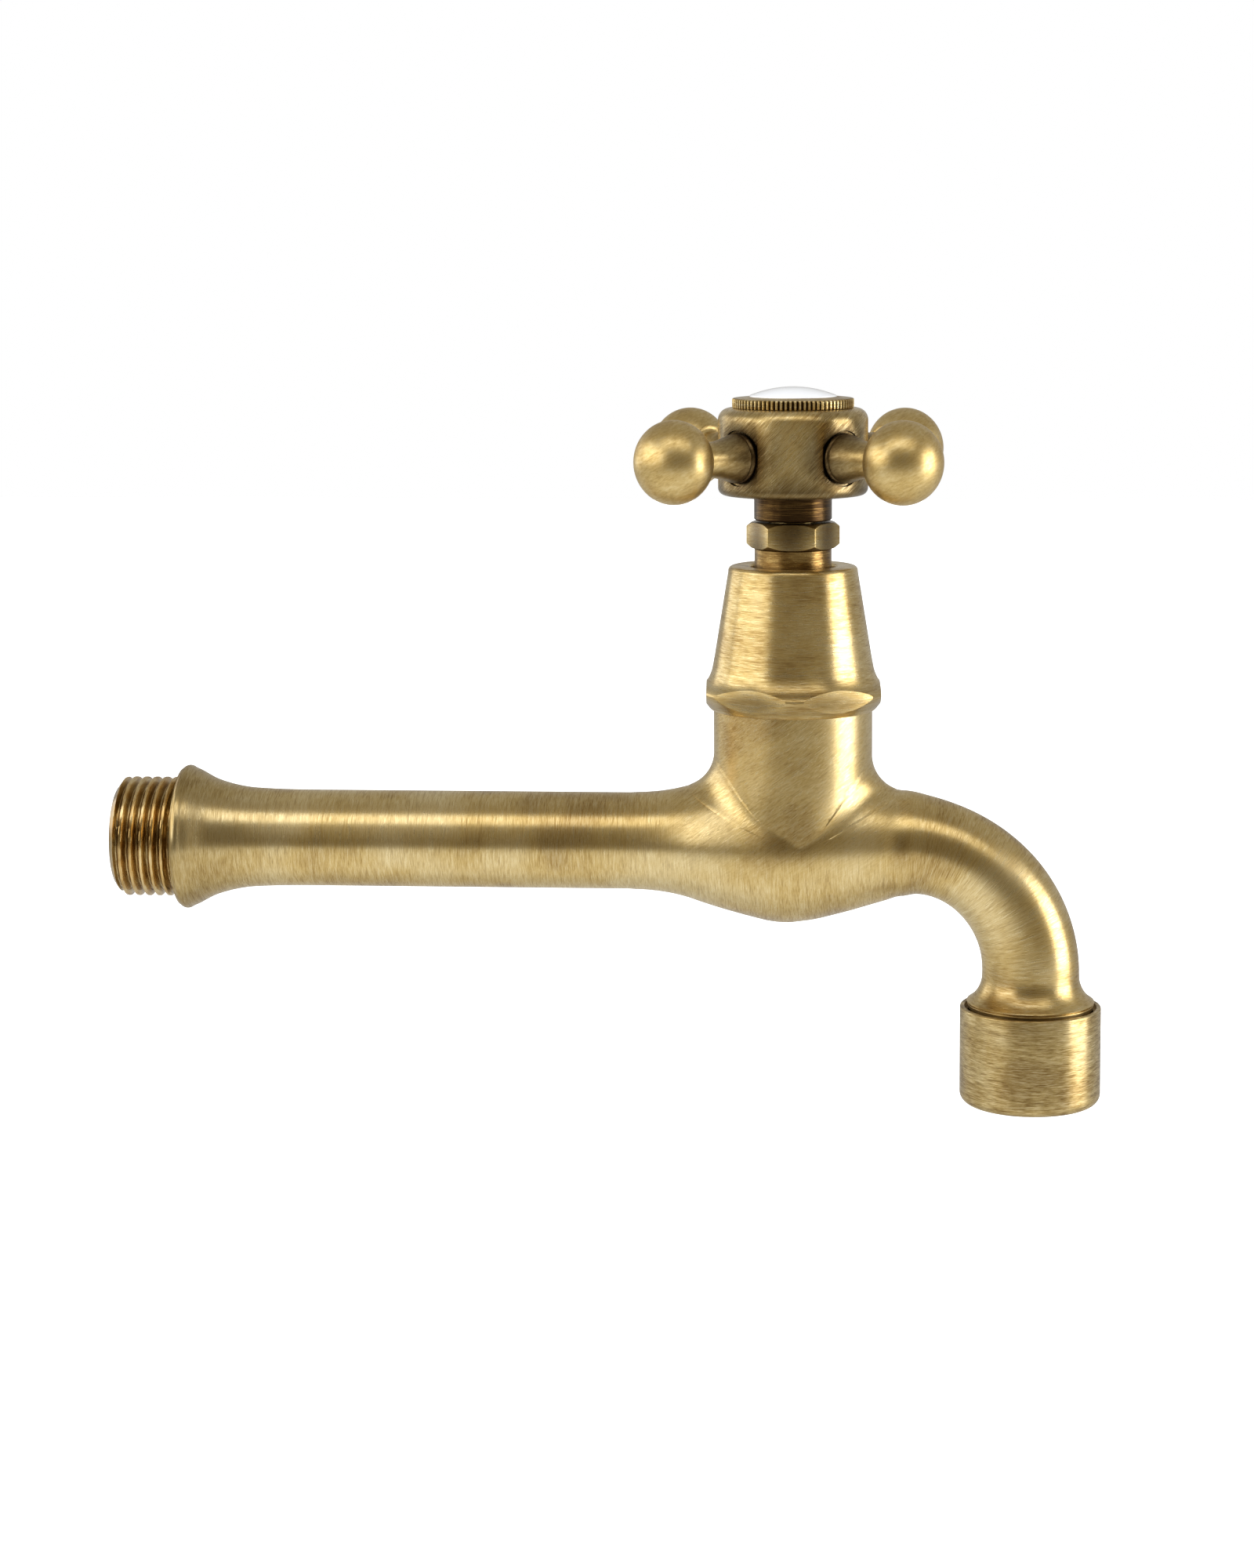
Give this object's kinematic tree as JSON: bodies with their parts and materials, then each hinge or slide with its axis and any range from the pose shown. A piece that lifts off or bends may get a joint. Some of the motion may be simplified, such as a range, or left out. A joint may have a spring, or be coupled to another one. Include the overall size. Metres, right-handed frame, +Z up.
{
  "type": "hose bib",
  "caption": "Wall-mounted bib tap in antique brushed brass: threaded inlet, long run, screw-down valve with bell cover and cross handle, curved spout with aerator.",
  "frame": {"origin": "on the inlet's axis in the plane of the wall, where the flange's flat back seats", "axes": "+X out from the wall along the tap's run, +Z up along the valve's axis towards the handle, +Y completes the right-handed frame"},
  "size_m": [0.1724, 0.0518, 0.1248],
  "materials": {
    "cast_brass": "antique brass, brushed round the tube and lacquered",
    "turned_brass": "antique brass, turned and brushed",
    "plain_brass": "as machined",
    "dark_brass": "darkened, satin",
    "steel": "plain stainless",
    "rubber": "matte",
    "fibre": "matte packing",
    "plastic": "moulded",
    "porcelain": "glossy glaze"
  },
  "bodies": {
    "tap": {"tap_body": "cast_brass", "bonnet_gasket": "fibre", "bonnet": "plain_brass", "packing_rings": "fibre", "gland_follower": "plain_brass", "gland_nut": "turned_brass", "bell_cover": "turned_brass", "aerator_housing": "turned_brass", "aerator_gasket": "rubber", "aerator_cartridge": "plastic", "aerator_screens": "steel", "aerator_grid": "plastic"},
    "valve_disc": {"seat_washer": "rubber", "jumper": "plain_brass", "washer_nut": "plain_brass"},
    "handle": {"spindle": "plain_brass", "handle_sleeve": "dark_brass", "handle_hub": "turned_brass", "handle_arm_1": "turned_brass", "handle_arm_2": "turned_brass", "handle_arm_3": "turned_brass", "handle_arm_4": "turned_brass", "handle_screw": "steel", "index_ring": "turned_brass", "index_disc": "porcelain"}
  },
  "joints": [
    {"name": "spindle_lift", "type": "slide", "parent": "tap", "child": "valve_disc", "axis": [0, 0, 1], "range_m": [0, 0.0045]},
    {"name": "handle_turn", "type": "hinge", "parent": "valve_disc", "child": "handle", "pos_m": [0.1075, 0, 0.0607], "axis": [0, 0, 1], "range_deg": [0, 810]}
  ],
  "couplings": [
    {"joint": "spindle_lift", "follows": "handle_turn", "m_per_rad": 0.0003183}
  ]
}
